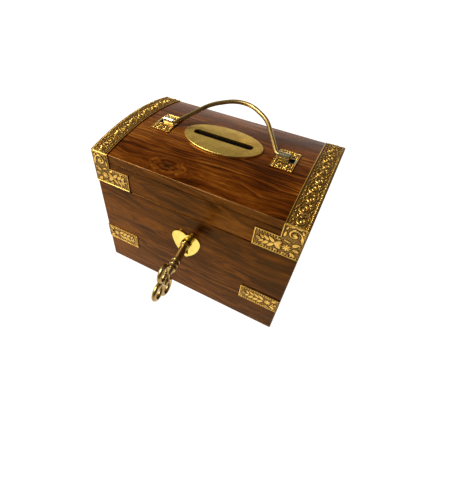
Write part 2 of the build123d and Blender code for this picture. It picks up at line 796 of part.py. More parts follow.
with BuildPart() as key:
    with BuildSketch(key_root.offset(-bit_depth - key_tip)):
        Circle(key_stem_radius)
    extrude(amount=bit_depth + key_tip + key_shoulder + key_stem_root)
    with BuildSketch(key_root.offset(collar_start)):
        Circle(key_collar_radius)
    extrude(amount=key_collar_length)
    for i in range(key_bead_count):
        with BuildSketch(key_root.offset(key_shoulder - key_bead_length - i * key_bead_step)):
            Circle(key_bead_radius)
        extrude(amount=key_bead_length)
    with BuildSketch(key_root.offset(-bit_depth - bit_width / 2)):
        with Locations((0, -bit_radius / 2)):
            Rectangle(bit_thickness, bit_radius)
    extrude(amount=bit_width)
    with BuildSketch(bow_plane):
        with Locations(
            (lobe_centre, lobe_offset), (lobe_centre, -lobe_offset), (end_lobe_centre, 0)
        ):
            Circle(lobe_radius)
        with Locations((boss_centre, 0)):
            Circle(bow_boss_radius)
        with Locations((key_shoulder + bow_boss_radius / 2, 0)):
            Rectangle(bow_boss_radius, 2 * key_stem_radius)
        with Locations(
            (lobe_centre, lobe_offset), (lobe_centre, -lobe_offset), (end_lobe_centre, 0)
        ):
            Circle(lobe_hole_radius, mode=Mode.SUBTRACT)
        with Locations((boss_centre, 0)):
            Circle(bow_boss_hole_radius, mode=Mode.SUBTRACT)
    extrude(amount=bow_thickness / 2, both=True)
save(key, "key")
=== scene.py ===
"""Looks of the wooden money box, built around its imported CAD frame.

Everything is in metres in the CAD's frame; MM turns the millimetre values below into metres.
"""
import json
import math

import bmesh
import bpy
import numpy as np
from mathutils import Matrix, Vector

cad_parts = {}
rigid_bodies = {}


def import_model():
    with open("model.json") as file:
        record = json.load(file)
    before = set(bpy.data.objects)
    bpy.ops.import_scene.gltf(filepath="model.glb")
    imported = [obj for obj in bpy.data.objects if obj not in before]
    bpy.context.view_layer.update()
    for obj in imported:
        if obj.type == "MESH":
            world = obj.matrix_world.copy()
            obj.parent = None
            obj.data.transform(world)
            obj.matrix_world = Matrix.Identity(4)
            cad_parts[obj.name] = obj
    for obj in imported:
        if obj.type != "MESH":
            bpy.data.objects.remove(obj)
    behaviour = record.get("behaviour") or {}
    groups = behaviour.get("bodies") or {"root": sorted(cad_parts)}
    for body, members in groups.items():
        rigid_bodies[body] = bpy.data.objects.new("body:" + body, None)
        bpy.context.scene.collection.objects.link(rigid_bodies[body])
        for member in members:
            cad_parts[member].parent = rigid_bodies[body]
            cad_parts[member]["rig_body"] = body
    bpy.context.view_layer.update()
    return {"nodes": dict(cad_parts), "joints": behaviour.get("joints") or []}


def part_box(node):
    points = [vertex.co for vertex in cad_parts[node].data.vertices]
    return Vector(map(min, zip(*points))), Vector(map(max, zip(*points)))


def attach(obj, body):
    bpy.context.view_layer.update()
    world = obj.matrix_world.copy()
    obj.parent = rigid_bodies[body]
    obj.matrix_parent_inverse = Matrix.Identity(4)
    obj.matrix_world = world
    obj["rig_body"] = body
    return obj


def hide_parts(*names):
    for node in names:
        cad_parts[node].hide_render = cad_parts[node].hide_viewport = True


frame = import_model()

MM = 0.001
TOUCH = 1e-5    # places nearer than this many metres are the same place
WELD = 1e-6


# ---- places read from the frame ----
def node_points(node):
    """All vertices of a CAD node, in metres."""
    return np.array([v.co for v in frame["nodes"][node].data.vertices])


def in_mm(length):
    """A length in metres as millimetres, to the nearest micrometre."""
    return round(float(length) / MM, 3)


def joint(name):
    """The record's joint of that name."""
    return next(j for j in frame["joints"] if j["name"] == name)


lid_points = node_points("lid_top")
lid_low, lid_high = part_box("lid_top")
HALF_WIDTH = lid_high.x
HALF_DEPTH = lid_high.y
ARCH_TOP = lid_high.z
FRONT_EDGE = lid_points[lid_points[:, 1] < lid_low.y + TOUCH][:, 2].max()
ARCH_RISE = ARCH_TOP - FRONT_EDGE
ARCH_RADIUS = (HALF_DEPTH ** 2 + ARCH_RISE ** 2) / (2 * ARCH_RISE)
ARCH_CENTRE = ARCH_TOP - ARCH_RADIUS
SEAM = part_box("lid_front_rail")[0].z
BODY_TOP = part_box("front_panel")[1].z

# the brass sheets' own sizes, in millimetres
BAND_LOW, BAND_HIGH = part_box("band_right")
band_points = node_points("band_right")
band_edge = band_points[band_points[:, 2] > FRONT_EDGE + MM][:, 0].min()
on_foot = (band_points[:, 0] < band_edge - MM) & (band_points[:, 1] < 0)
BAND_WIDTH = in_mm(HALF_WIDTH - band_edge)
FOOT_HEIGHT = in_mm(band_points[on_foot][:, 2].max() - BAND_LOW.z)
FOOT_LENGTH = in_mm(BAND_HIGH.x - BAND_LOW.x)
strap_low, strap_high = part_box("corner_strap_right")
STRAP_LENGTH = in_mm(strap_high.x - strap_low.x)
STRAP_HEIGHT = in_mm(strap_high.z - strap_low.z)
plate_low, plate_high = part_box("handle_plate_right")
PLATE_WIDTH = in_mm(plate_high.x - plate_low.x)
PLATE_LENGTH = in_mm(plate_high.y - plate_low.y)


# ---- mesh helpers ----
def new_object(name, mesh):
    """A new object of that mesh, in the scene."""
    obj = bpy.data.objects.new(name, mesh)
    bpy.context.scene.collection.objects.link(obj)
    return obj


def finish_mesh(bm, name, smooth_angle=40):
    """Turn a bmesh into an object shaded by area-weighted normals, crisp past the angle."""
    bmesh.ops.recalc_face_normals(bm, faces=bm.faces)
    bm.verts.index_update()
    bm.faces.index_update()
    limit = math.cos(math.radians(smooth_angle))
    normals = []
    for face in bm.faces:
        for corner in face.loops:
            near = [f for f in corner.vert.link_faces if f.normal.dot(face.normal) > limit]
            normals.append(sum((f.normal * f.calc_area() for f in near), Vector()).normalized())
    mesh = bpy.data.meshes.new(name)
    bm.to_mesh(mesh)
    bm.free()
    mesh.shade_smooth()
    mesh.normals_split_custom_set(normals)
    return new_object(name, mesh)


def clean_copy(node):
    """The CAD node's shape as a welded bmesh with its flat faces whole."""
    bm = bmesh.new()
    bm.from_mesh(frame["nodes"][node].data)
    bmesh.ops.remove_doubles(bm, verts=bm.verts, dist=WELD)
    bmesh.ops.dissolve_limit(bm, angle_limit=math.radians(0.3), verts=bm.verts, edges=bm.edges)
    return bm


def sharp_edges(bm, angle=30):
    """Edges of the bmesh that turn by more than the angle."""
    limit = math.radians(angle)
    return [e for e in bm.edges if len(e.link_faces) == 2 and e.calc_face_angle(0) > limit]


def bevel(bm, edges, width, segments=3):
    """Round the given edges by width."""
    if edges:
        bmesh.ops.bevel(
            bm, geom=edges, offset=width, offset_type="OFFSET", segments=segments,
            profile=0.5, affect="EDGES", clamp_overlap=True,
        )


def dress(obj, node, material):
    """Let obj stand for the CAD node: same body, hidden original."""
    obj.data.materials.clear()
    obj.data.materials.append(material)
    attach(obj, frame["nodes"][node]["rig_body"])
    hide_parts(node)
    return obj


def softened(node, name, material, width, segments=2):
    """The CAD node with every sharp edge rounded."""
    bm = clean_copy(node)
    bevel(bm, sharp_edges(bm), width, segments)
    return dress(finish_mesh(bm, name), node, material)


# ---- materials ----
def new_material(name):
    """A new node material, its node tree and its Principled shader."""
    material = bpy.data.materials.new(name)
    material.use_nodes = True
    tree = material.node_tree
    shader = tree.nodes["Principled BSDF"]
    return material, tree, shader


def add_node(tree, kind, inputs=None, **settings):
    """Add a node, set its properties, and fill or link its inputs."""
    node = tree.nodes.new(kind)
    for key, value in settings.items():
        setattr(node, key, value)
    for key, value in (inputs or {}).items():
        if isinstance(value, bpy.types.NodeSocket):
            tree.links.new(value, node.inputs[key])
        else:
            node.inputs[key].default_value = value
    return node


def ramp(tree, factor, stops):
    """A colour ramp over factor; stops are (position, colour)."""
    node = add_node(tree, "ShaderNodeValToRGB", {"Fac": factor})
    elements = node.color_ramp.elements
    while len(elements) < len(stops):
        elements.new(0.5)
    for element, (position, colour) in zip(elements, stops):
        element.position = position
        element.color = (*colour, 1)
    return node.outputs["Color"]


def triple(value):
    """value in all three places: a grey, or an even vector."""
    return (value, value, value)


def math_node(tree, operation, a, b=0.0, c=0.0):
    """One math node's output."""
    return add_node(tree, "ShaderNodeMath", {0: a, 1: b, 2: c}, operation=operation).outputs[0]


def noise(tree, vector, scale=1.0, detail=3.0, roughness=0.5):
    """One noise texture's value, about 0 to 1."""
    return add_node(
        tree, "ShaderNodeTexNoise",
        {"Vector": vector, "Scale": scale, "Detail": detail, "Roughness": roughness},
    ).outputs["Fac"]


def noise_along(tree, distance, scale, detail, roughness=0.5):
    """Noise over a distance in millimetres, about 0 to 1."""
    return add_node(
        tree, "ShaderNodeTexNoise",
        {"W": distance, "Scale": scale, "Detail": detail, "Roughness": roughness},
        noise_dimensions="1D",
    ).outputs["Fac"]


def mixed(tree, factor, a, b, blend="MIX"):
    """Mix two colours."""
    a, b = ((*colour, 1) if isinstance(colour, tuple) else colour for colour in (a, b))
    return add_node(
        tree, "ShaderNodeMix", {0: factor, 6: a, 7: b}, data_type="RGBA", blend_type=blend
    ).outputs[2]


def bump(tree, shader, height, strength, distance):
    """Drive the shader's normal by a height; distance is in metres."""
    node = add_node(
        tree, "ShaderNodeBump", {"Height": height, "Strength": strength, "Distance": distance}
    )
    tree.links.new(node.outputs["Normal"], shader.inputs["Normal"])


def surface_point(tree, shift=triple(0), stretch=triple(1), turn=triple(0)):
    """The surface point in its own body's frame, in millimetres, shifted, turned and stretched."""
    point = add_node(tree, "ShaderNodeTexCoord").outputs["Object"]
    scaled = [s / MM for s in stretch]
    return add_node(
        tree, "ShaderNodeMapping",
        {"Vector": point, "Location": shift, "Rotation": turn, "Scale": scaled},
    ).outputs["Vector"]


def vector_math(tree, operation, a, b=triple(0)):
    """One vector math node's vector output."""
    return add_node(tree, "ShaderNodeVectorMath", {0: a, 1: b}, operation=operation).outputs[0]


def vector_length(tree, vector):
    """A vector's length."""
    return add_node(
        tree, "ShaderNodeVectorMath", {0: vector}, operation="LENGTH"
    ).outputs["Value"]


# How often the wood's features repeat per millimetre, along the grain and across it.
WANDER_SCALE = (0.016, 0.06, 0.06)
STREAK_SCALE = (0.03, 0.5, 0.5)
PATCH_SCALE = (0.03, 0.07, 0.07)
PORE_SCALE = (0.28, 4.2, 4.2)
RIPPLE_SCALE = (0.05, 0.12, 0.12)
RING_SCALE = 0.85
WANDER_REACH = 15.0
RING_SHARE, STREAK_SHARE, PATCH_SHARE = 0.32, 0.38, 0.30
# Painted light from the left: the wood's tone drops this much per mm along the grain's X.
PAINTED_LIGHT_FALLOFF_PER_MM = 0.00060
KNOT_STRETCH = (0.6, 1.0, 0.6)
KNOT_HEART = (0.010, 0.003, 0.001)
WARM_GLOSS = (0.040, 0.0168, 0.0030)


def grain_round_knot(tree, point, grain, knot):
    """The grain pushed aside round a knot, the distance from it, its reach and its dark core."""
    *place, size = knot
    gap = vector_math(tree, "SUBTRACT", point, place)
    gap = vector_math(tree, "MULTIPLY", gap, KNOT_STRETCH)
    away = vector_length(tree, gap)
    near = math_node(tree, "POWER", math_node(tree, "DIVIDE", away, size), 2.0)
    reach = math_node(tree, "EXPONENT", math_node(tree, "MULTIPLY", near, -1.0))
    core = math_node(tree, "EXPONENT", math_node(tree, "MULTIPLY", near, -16.0))
    push = add_node(
        tree, "ShaderNodeVectorMath", {0: gap, "Scale": reach}, operation="SCALE"
    ).outputs[0]
    push = vector_math(tree, "MULTIPLY", push, (0, 0.9, 0.9))
    return vector_math(tree, "SUBTRACT", grain, push), away, reach, core


def wood(name, seed, pith, colours, index=1.12, tilt=0.0, knot=None, across=False):
    """Lacquered sheesham: rings round a far pith, dark heartwood streaks, fine pores, and painted
    light that leaves it paler towards the grain's -X end (the box's left).

    pith is the tree's centre line in (y, z) mm; across=True runs the grain along Y. index is
    the lacquer's refractive index, whose face-on reflection is WARM_GLOSS; 0 leaves raw wood.
    knot is a knot's place and size in mm.
    """
    material, tree, shader = new_material(name)
    point = surface_point(tree, turn=(0, tilt, math.pi / 2 if across else 0))
    shift = vector_math(tree, "ADD", point, (seed * 37.0, seed * 11.0, seed * 23.0))
    slow = vector_math(tree, "MULTIPLY", shift, WANDER_SCALE)
    wander = add_node(tree, "ShaderNodeTexNoise", {"Vector": slow, "Scale": 1.0, "Detail": 3.0})
    wander = vector_math(tree, "SUBTRACT", wander.outputs["Color"], triple(0.5))
    wander = vector_math(tree, "MULTIPLY", wander, (0, WANDER_REACH, WANDER_REACH))
    grain = vector_math(tree, "ADD", point, wander)
    if knot:
        grain, away, reach, core = grain_round_knot(tree, point, grain, knot)
    from_pith = vector_math(tree, "SUBTRACT", grain, (0, *pith))
    from_pith = vector_length(tree, vector_math(tree, "MULTIPLY", from_pith, (0.02, 1, 1)))
    rings = noise_along(tree, from_pith, RING_SCALE, 4.0, 0.7)
    streaks = noise(tree, vector_math(tree, "MULTIPLY", grain, STREAK_SCALE), 1.0, 6.0, 0.65)
    patches = noise(tree, vector_math(tree, "MULTIPLY", shift, PATCH_SCALE), 1.0, 2.0)
    pores = noise(tree, vector_math(tree, "MULTIPLY", shift, PORE_SCALE), 1.0, 2.0)
    along = add_node(tree, "ShaderNodeSeparateXYZ", {0: point}).outputs["X"]
    tone = math_node(tree, "MULTIPLY", rings, RING_SHARE)
    tone = math_node(tree, "ADD", tone, math_node(tree, "MULTIPLY", streaks, STREAK_SHARE))
    tone = math_node(tree, "ADD", tone, math_node(tree, "MULTIPLY", patches, PATCH_SHARE))
    # Painted light: the tone falls along the grain's X, paler to the left and darker to the right.
    tone = math_node(tree, "ADD", tone, math_node(tree, "MULTIPLY", along, -PAINTED_LIGHT_FALLOFF_PER_MM))
    if knot:
        swirl = math_node(tree, "ADD", away, math_node(tree, "MULTIPLY", streaks, 9.0))
        eye = noise_along(tree, swirl, 0.8, 4.0)
        share = math_node(tree, "MULTIPLY", reach, 0.6)
        tone = add_node(tree, "ShaderNodeMix", {0: share, 2: tone, 3: eye}).outputs[0]
    pore_mask = ramp(tree, pores, [(0.33, triple(0.40)), (0.46, triple(1.0))])
    base = mixed(tree, 0.8, ramp(tree, tone, colours), pore_mask, "MULTIPLY")
    if knot:
        base = mixed(tree, core, base, KNOT_HEART)
    tree.links.new(base, shader.inputs["Base Color"])
    if index:
        face_on = ((index - 1) / (index + 1)) ** 2
        shader.inputs["Roughness"].default_value = 0.18
        shader.inputs["IOR"].default_value = index
        shader.inputs["Specular Tint"].default_value = [c / face_on for c in WARM_GLOSS] + [1]
    else:
        shader.inputs["Roughness"].default_value = 0.6
        shader.inputs["Specular IOR Level"].default_value = 0.2
    ripple = noise(tree, surface_point(tree, stretch=RIPPLE_SCALE), 1.0, 2.0)
    surface = math_node(tree, "ADD", ripple, math_node(tree, "MULTIPLY", pores, 0.10))
    bump(tree, shader, surface, 0.4, 0.6 * MM)
    return material


# Patina colour for the stamped hollows, also used as painted shade on the relief's lower slopes
# and edge walls.
PATINA_AND_SHADE = (0.120, 0.050, 0.006)
# Near-black painted shade for a handle plate's opening; the plate is not cut there.
OPENING_SHADE = (0.006, 0.004, 0.002)
SCRATCH_SCALE = (0.8, 9.0, 9.0)
SCRATCH_TURN = (0.3, 0.2, 0.5)


def brass(name, bright, dull, roughness, tarnish, scratch, lacquer=0.0, relief=False):
    """Brass with worn high places, dull tarnish patches and fine scratches.

    relief=True darkens the sheet by the mesh's own relief value: patina in the stamped hollows,
    and painted shade that grades the lower slopes and the sheet's edge walls by height. Where that
    value is below 0, a plate's opening is painted near-black as its shade.
    """
    material, tree, shader = new_material(name)
    point = surface_point(tree)
    blotch = noise(tree, point, 0.22, 4.0, 0.6)
    speck = noise(tree, point, 2.6, 3.0, 0.6)
    wear = math_node(tree, "ADD", math_node(tree, "MULTIPLY", blotch, 0.7),
                     math_node(tree, "MULTIPLY", speck, 0.3))
    tone = ramp(tree, wear, [(0.5 - tarnish * 0.3, dull), (0.60, bright)])
    rough = math_node(tree, "MULTIPLY_ADD", wear, -0.25, roughness + 0.14)
    if relief:
        high = add_node(tree, "ShaderNodeAttribute", attribute_name="relief").outputs["Fac"]
        # Darkening by relief height: patina in the hollows plus painted shade that grades the
        # leaves' slopes for depth.
        patina_and_shade = ramp(tree, high, [(0.08, triple(1.0)), (0.40, triple(0.80)), (0.74, triple(0.0))])
        tone = mixed(tree, patina_and_shade, tone, PATINA_AND_SHADE)
        rough = math_node(tree, "ADD", rough, math_node(tree, "MULTIPLY", patina_and_shade, 0.25))
        # Painted shade: near-black where a plate's opening lies (relief below 0).
        tone = mixed(tree, math_node(tree, "LESS_THAN", high, -0.5), tone, OPENING_SHADE)
    tree.links.new(tone, shader.inputs["Base Color"])
    tree.links.new(rough, shader.inputs["Roughness"])
    shader.inputs["Metallic"].default_value = 1.0
    shader.inputs["Coat Weight"].default_value = lacquer
    shader.inputs["Coat Roughness"].default_value = 0.16
    scratches = noise(
        tree, surface_point(tree, stretch=SCRATCH_SCALE, turn=SCRATCH_TURN), 1.0, 3.0, 0.7
    )
    dents = noise(tree, point, 0.55, 2.0)
    height = math_node(tree, "ADD", math_node(tree, "MULTIPLY", scratches, scratch * 0.12),
                       math_node(tree, "MULTIPLY", dents, scratch))
    bump(tree, shader, height, 0.5, 0.4 * MM)
    return material


# Wood colours from the darkest streaks to the palest, each with its place on the tone scale.
LID_COLOURS = [
    (0.39, (0.020, 0.0034, 0.0005)), (0.46, (0.070, 0.0136, 0.0010)),
    (0.53, (0.152, 0.0360, 0.0025)), (0.60, (0.310, 0.1020, 0.0100)),
]
BODY_COLOURS = [
    (0.41, (0.010, 0.0020, 0.0002)), (0.47, (0.046, 0.0115, 0.0007)),
    (0.52, (0.092, 0.0240, 0.0014)), (0.58, (0.165, 0.0500, 0.0040)),
]
RAW_COLOURS = [
    (0.38, (0.060, 0.0260, 0.0100)), (0.46, (0.110, 0.0540, 0.0220)),
    (0.53, (0.170, 0.0900, 0.0400)), (0.62, (0.240, 0.1400, 0.0700)),
]
# Near-black colours for the slot's inner walls: painted shade inside the slot.
SLOT_SHADE_COLOURS = [
    (0.40, (0.004, 0.0015, 0.0008)), (0.60, (0.020, 0.0080, 0.0040)),
]
# Pale colours for the lid's front arris: worn wood plus a painted highlight along the edge.
WORN_HIGHLIT_COLOURS = [
    (0.38, (0.10, 0.040, 0.010)), (0.46, (0.22, 0.095, 0.028)),
    (0.53, (0.38, 0.180, 0.060)), (0.62, (0.52, 0.280, 0.110)),
]
KNOT = (-12.0, -26.0, 75.5, 6.0)
ROOT_PITH = (10.0, -40.0)

wood_lid = wood("wood_lid", 3, (-46.0, 46.0), LID_COLOURS, 1.2, tilt=0.02, knot=KNOT)
wood_front = wood("wood_front", 8, (40.0, 66.0), BODY_COLOURS, tilt=-0.06)
wood_worn_highlit = wood("wood_worn_highlit", 3, (-46.0, 46.0), WORN_HIGHLIT_COLOURS, tilt=0.02)
wood_side = wood("wood_side", 5, (30.0, 90.0), BODY_COLOURS, across=True)
wood_back = wood("wood_back", 6, (-52.0, 20.0), BODY_COLOURS, tilt=0.03)
wood_raw = wood("wood_raw", 12, ROOT_PITH, RAW_COLOURS, index=0)
wood_slot_shade = wood("wood_slot_shade", 14, ROOT_PITH, SLOT_SHADE_COLOURS, index=0)

brass_relief = brass("brass_relief", (1.0, 0.63, 0.140), (0.68, 0.36, 0.060), 0.32, 0.5, 0.05,
                     lacquer=0.1, relief=True)
brass_satin = brass("brass_satin", (1.0, 0.71, 0.17), (0.66, 0.41, 0.08), 0.29, 0.7, 0.40)
brass_polished = brass("brass_polished", (0.88, 0.71, 0.17), (0.80, 0.61, 0.13), 0.09, 0.3, 0.05)
brass_cast = brass("brass_cast", (0.54, 0.36, 0.12), (0.22, 0.135, 0.042), 0.31, 0.6, 0.02)
brass_eye = brass("brass_eye", (0.90, 0.78, 0.46), (0.55, 0.42, 0.18), 0.20, 0.6, 0.2)
brass_nail = brass("brass_nail", (0.62, 0.38, 0.11), (0.30, 0.16, 0.04), 0.35, 0.6, 0.2)
brass_dull = brass("brass_dull", (0.70, 0.48, 0.18), (0.45, 0.28, 0.09), 0.36, 0.6, 0.2)
steel = brass("steel", triple(0.60), (0.40, 0.38, 0.36), 0.3, 0.5, 0.2)


# ---- wooden boards ----
OUTER_SKIN = 0.6 * MM       # how far in a face may lie and still be lacquered
SEAM_DROP = 0.185 * MM      # how far the lid's boards reach down into the seam
OUTER_ROUND = 0.7           # rounding of the outer corners, in millimetres
SEAM_ROUND = 0.02
ARRIS_ROUND = 0.30
LACQUERED, RAW, FRONT, BACK, SIDE, ARRIS, SLOT_SHADE = range(7)


def on_corner(edge, x=None, y=None, z=None):
    """Whether both ends of an edge lie at the given |x|, y and z."""
    return all(
        (x is None or abs(abs(v.co.x) - x) < TOUCH)
        and (y is None or abs(v.co.y - y) < TOUCH)
        and (z is None or abs(v.co.z - z) < TOUCH)
        for v in edge.verts
    )


def board(node, material, rules, drop=0.0):
    """A board with the edges that each rule names rounded; rules are (test, width in mm).

    drop lowers the board's underside by that many metres.
    """
    bm = clean_copy(node)
    lowest = min(v.co.z for v in bm.verts)
    for vert in bm.verts:
        if vert.co.z < lowest + TOUCH:
            vert.co.z -= drop
    for test, width in rules:
        bevel(bm, [e for e in sharp_edges(bm) if test(e)], width * MM)
    obj = dress(finish_mesh(bm, f"wood_{node}"), node, material)
    obj.data.materials.append(wood_raw)
    for face in obj.data.polygons:
        at = face.center
        outside = (
            abs(at.x) > HALF_WIDTH - OUTER_SKIN or abs(at.y) > HALF_DEPTH - OUTER_SKIN
            or at.z < OUTER_SKIN or at.z > FRONT_EDGE - OUTER_SKIN
        )
        face.material_index = LACQUERED if outside else RAW
    return obj


def vertical_corner(y):
    """Rule for the upright outer corners at depth y."""
    return lambda e: on_corner(e, x=HALF_WIDTH, y=y)


def level_edge(z, y=None, x=None):
    """Rule for level edges at height z on one outer face."""
    return lambda e: on_corner(e, x=x, y=y, z=z)


for node, y, material in (
    ("front_panel", -HALF_DEPTH, wood_front),
    ("back_panel", HALF_DEPTH, wood_back),
):
    board(node, material, [
        (vertical_corner(y), OUTER_ROUND),
        (level_edge(0.0, y=y), OUTER_ROUND),
        (level_edge(BODY_TOP, y=y), SEAM_ROUND),
    ])
for node, y, material in (
    ("lid_front_rail", -HALF_DEPTH, wood_front),
    ("lid_back_rail", HALF_DEPTH, wood_back),
):
    board(node, material, [
        (vertical_corner(y), OUTER_ROUND),
        (level_edge(SEAM - SEAM_DROP, y=y), SEAM_ROUND),
    ], SEAM_DROP)
for node in ("left_end_panel", "right_end_panel"):
    board(node, wood_side, [
        (level_edge(0.0, x=HALF_WIDTH), OUTER_ROUND),
        (level_edge(BODY_TOP, x=HALF_WIDTH), SEAM_ROUND),
    ])
for node in ("lid_left_end", "lid_right_end"):
    board(node, wood_side, [(level_edge(SEAM - SEAM_DROP, x=HALF_WIDTH), SEAM_ROUND)], SEAM_DROP)
board("bottom_panel", wood_raw, [])


def make_lid_top():
    """The arched board: its ends match the rails, and its slot's walls are painted near-black as
    shade.
    """
    lid_top = board("lid_top", wood_lid, [(level_edge(FRONT_EDGE, y=-HALF_DEPTH), ARRIS_ROUND)])
    for material in (wood_front, wood_back, wood_side, wood_worn_highlit, wood_slot_shade):
        lid_top.data.materials.append(material)
    slot_low, slot_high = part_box("slot_plate")
    for face in lid_top.data.polygons:
        at, normal = face.center, face.normal
        if abs(normal.y) > 0.9:
            face.material_index = FRONT if normal.y < 0 else BACK
        # The front arris's rounding gets the pale wood: wear plus a painted highlight line.
        elif normal.y < -0.35:
            face.material_index = ARRIS
        elif abs(normal.x) > 0.9 and abs(at.x) > HALF_WIDTH - 0.1 * MM:
            face.material_index = SIDE
        # The slot's walls get the near-black wood: painted shade inside the slot.
        if (
            abs(normal.z) < 0.5 and slot_low.x < at.x < slot_high.x
            and slot_low.y < at.y < slot_high.y
        ):
            face.material_index = SLOT_SHADE


make_lid_top()


# ---- stamped ornament: heights 0 to 1 over a sheet's own (u, v) in millimetres ----
OUTLINE = 0.26              # width of the sunk line round each motif
# The roll also lowers the relief value, painting the sheet's outer edge dark as shade along the
# box's corner.
EDGE_ROLL_AND_SHADE = 1.1             # width over which a sheet rolls down at the box's corner
ARRIS_AT = 16.9             # how far up a band its fold over the lid's front edge lies
REPEAT = 5.9                # length of one unit of the running scroll
REPEATS = 13
# The opening is painted near-black as shade; the sheet is not cut there.
SHADED_OPENING = (6.2, 8.6, 1.7)    # a handle plate's opening: its start, end and half length
BAND_DASH_AT = 0.9          # milled row's middle, from a band's or foot's edge
DASH_AT = 0.85              # and from a strap's or plate's edge
BAND_MARGIN = 1.35          # plain border that holds the milled row, on a foot
MARGIN = 1.2                # and on a strap or plate


def ridge(distance, width):
    """A rounded ridge of half-width width along distance 0."""
    return np.clip(1 - (distance / width) ** 2, 0, 1) ** 0.75


def leaf(u, v, at, heading, length, width, grow=0.0):
    """A pointed leaf with a sunk midrib, starting at a point and lying along heading degrees."""
    c, s = math.cos(math.radians(heading)), math.sin(math.radians(heading))
    length, width = length + 2 * grow, width + grow
    along = ((u - at[0]) * c + (v - at[1]) * s + grow) / length
    across = (v - at[1]) * c - (u - at[0]) * s
    half = width * np.sin(math.pi * np.clip(along, 0, 1) ** 0.75) + 1e-6
    inside = (along > 0) & (along < 1)
    veins = 0.86 + 0.14 * np.cos(9 * along * length / width - 5 * np.abs(across) / width)
    rib = 1 - 0.55 * np.exp(-(across / (0.13 * width + 0.04)) ** 2)
    return np.where(inside, ridge(across, half) * veins * rib, 0)


def rosette(u, v, at, radius, petals=8, grow=0.0):
    """A flower of rounded petals round a small boss."""
    radius = radius + grow
    du, dv = u - at[0], v - at[1]
    distance = np.hypot(du, dv)
    turn = np.cos(petals * np.arctan2(dv, du))
    edge = radius * (0.86 + 0.14 * turn)
    bloom = ridge(distance, edge) * (0.66 + 0.24 * turn) * np.clip(distance / radius * 3, 0, 1)
    return np.maximum(bloom, ridge(distance, 0.30 * radius))


def scroll(u, v, at, radius, start, turns, width=0.34, grow=0.0):
    """A spiral rib that winds in from radius, from a starting angle, through turns."""
    result = np.zeros_like(u)
    width = width + grow
    sweep = np.linspace(0, 1, max(12, int(26 * abs(turns) * math.sqrt(radius))))
    for t in sweep:
        angle = math.radians(start) + 2 * math.pi * turns * t
        reach = radius * (1 - 0.86 * t)
        gap = np.hypot(u - at[0] - reach * math.cos(angle), v - at[1] - reach * math.sin(angle))
        result = np.maximum(result, ridge(gap, width))
    return np.maximum(result, ridge(np.hypot(u - at[0], v - at[1]), 0.24 * radius))


def milled(across, along, offset, pitch=1.15, width=0.48):
    """A row of short bars along a line at offset."""
    bars = 0.5 + 0.5 * np.cos(2 * math.pi * along / pitch)
    return ridge(across - offset, width) * np.clip(bars * 1.7 - 0.3, 0, 1)


def rim(distance, width=0.34):
    """A plain raised border where distance to the edge is small."""
    return np.clip((width - distance) / 0.12 + 0.5, 0, 1)


def rolled_and_shaded(u):
    """How much of a sheet's height is left near its outer edge at u = 0; the lowered relief value
    there also paints the edge dark as shade.
    """
    t = np.clip(u / EDGE_ROLL_AND_SHADE, 0, 1)
    return 0.08 + 0.92 * np.sqrt(t * (2 - t))


def stipple(u, v):
    """The pricked ground between the leaves."""
    prick = np.sin(8.3 * u + 2.1 * np.sin(3.1 * v)) * np.sin(7.9 * v + 1.7 * np.sin(2.7 * u))
    return 0.36 + 0.20 * prick


def highest(*parts):
    """The upper envelope of several heights."""
    return np.maximum.reduce(parts)


def motifs(u, v, listed):
    """Listed motifs over a pricked ground, each with a sunk outline round it."""
    raised = highest(*(shape(u, v, *numbers) for shape, *numbers in listed))
    moat = highest(*(shape(u, v, *numbers, grow=OUTLINE) for shape, *numbers in listed))
    return np.where(raised > 0.05, 0.25 + 0.75 * raised, np.where(moat > 0, 0.0, stipple(u, v)))


def foliage_unit(middle, base, side):
    """One repeat of the running scroll: a spiral with a flower, side leaves and a tip."""
    hub = (middle + 0.5 * side, base + 2.5)
    return [
        (scroll, hub, 2.1, -90 * side, 1.3 * side, 0.24),
        (rosette, hub, 0.75, 6),
        (leaf, (middle - 2.3 * side, base + 0.1), 90 - 14 * side, 2.1, 0.42),
        (leaf, (middle - 2.5 * side, base + 1.9), 90 + 8 * side, 1.8, 0.36),
        (leaf, (middle - 2.0 * side, base + 3.5), 90 - 36 * side, 1.7, 0.38),
        (leaf, (middle - 3.3 * side, base + 3.4), 90 + 4 * side, 1.7, 0.34),
        (leaf, (middle - 3.4 * side, base + 0.6), 90 - 6 * side, 1.7, 0.34),
        (leaf, (middle + 3.2 * side, base + 0.2), 90 + 10 * side, 1.6, 0.34),
        (leaf, (middle + 3.3 * side, base + 2.2), 90 - 8 * side, 1.7, 0.34),
        (leaf, (middle + 2.7 * side, base + 3.9), 90 + 16 * side, 1.7, 0.36),
        (leaf, (middle + 1.6 * side, base + 4.9), 90 + 64 * side, 1.7, 0.36),
        (leaf, (middle + 0.3 * side, base + 0.0), 90 + 72 * side, 1.5, 0.34),
        (scroll, (middle - 1.4 * side, base + 5.4), 0.8, 90 * side, -1.0 * side, 0.2),
    ]


